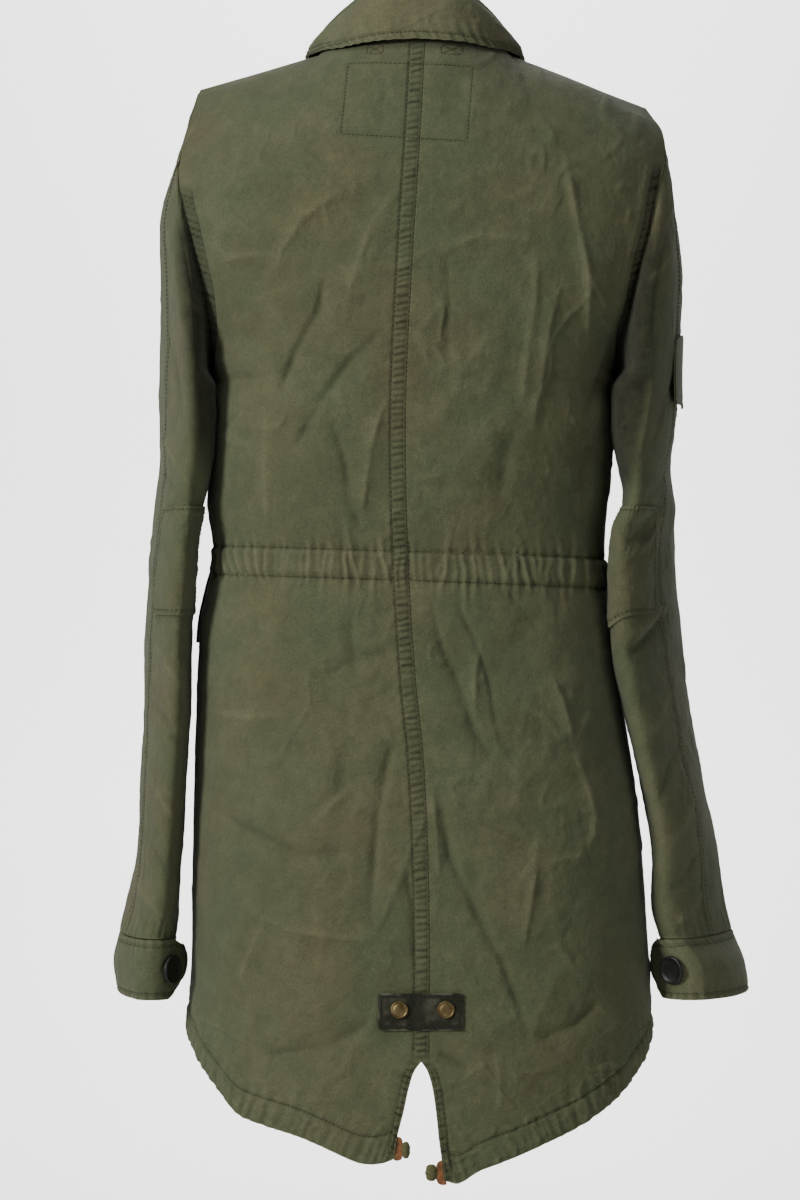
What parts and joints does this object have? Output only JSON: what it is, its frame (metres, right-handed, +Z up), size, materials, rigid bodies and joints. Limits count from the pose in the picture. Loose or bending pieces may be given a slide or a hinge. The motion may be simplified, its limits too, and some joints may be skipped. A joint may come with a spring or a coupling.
{
  "type": "fishtail parka jacket",
  "caption": "Washed olive cotton parka with turned-down collar, cinched waist casing, elbow patches, buttoned cuffs and a split tail with a snap tab.",
  "frame": {"origin": "middle of the neck opening, at the level of the neck seam at the sides, where the wearer's shoulders carry the jacket", "axes": "+Z up along the body, +Y out of the back, +X to the wearer's left"},
  "size_m": [0.4723, 0.2552, 0.8738],
  "materials": {
    "cloth": "washed cotton twill, matte",
    "dark_cloth": "dark cotton twill, matte",
    "brass": "worn, satin",
    "leather": "smooth, worn",
    "cord": "braided, matte",
    "button": "matte, slightly worn"
  },
  "bodies": {
    "root": {"back_left": "cloth", "back_right": "cloth", "front_left": "cloth", "front_right": "cloth", "sleeve_under_left": "cloth", "sleeve_under_right": "cloth", "sleeve_top_left": "cloth", "sleeve_top_right": "cloth", "elbow_patch_left": "cloth", "elbow_patch_right": "cloth", "cuff_left": "cloth", "cuff_right": "cloth", "collar": "cloth", "front_placket": "cloth", "pocket_left": "cloth", "pocket_right": "cloth", "arm_flap_right": "cloth", "back_tab": "dark_cloth", "pocket_flap_left": "dark_cloth", "pocket_flap_right": "dark_cloth", "snap_left": "brass", "snap_right": "brass", "cord_loop_left": "leather", "cord_loop_right": "leather", "cord_knot_left": "cord", "cord_knot_right": "cord", "cuff_button_left": "button", "cuff_button_right": "button", "front_button_1": "button", "front_button_2": "button", "front_button_3": "button", "front_button_4": "button", "front_button_5": "button"}
  },
  "joints": []
}
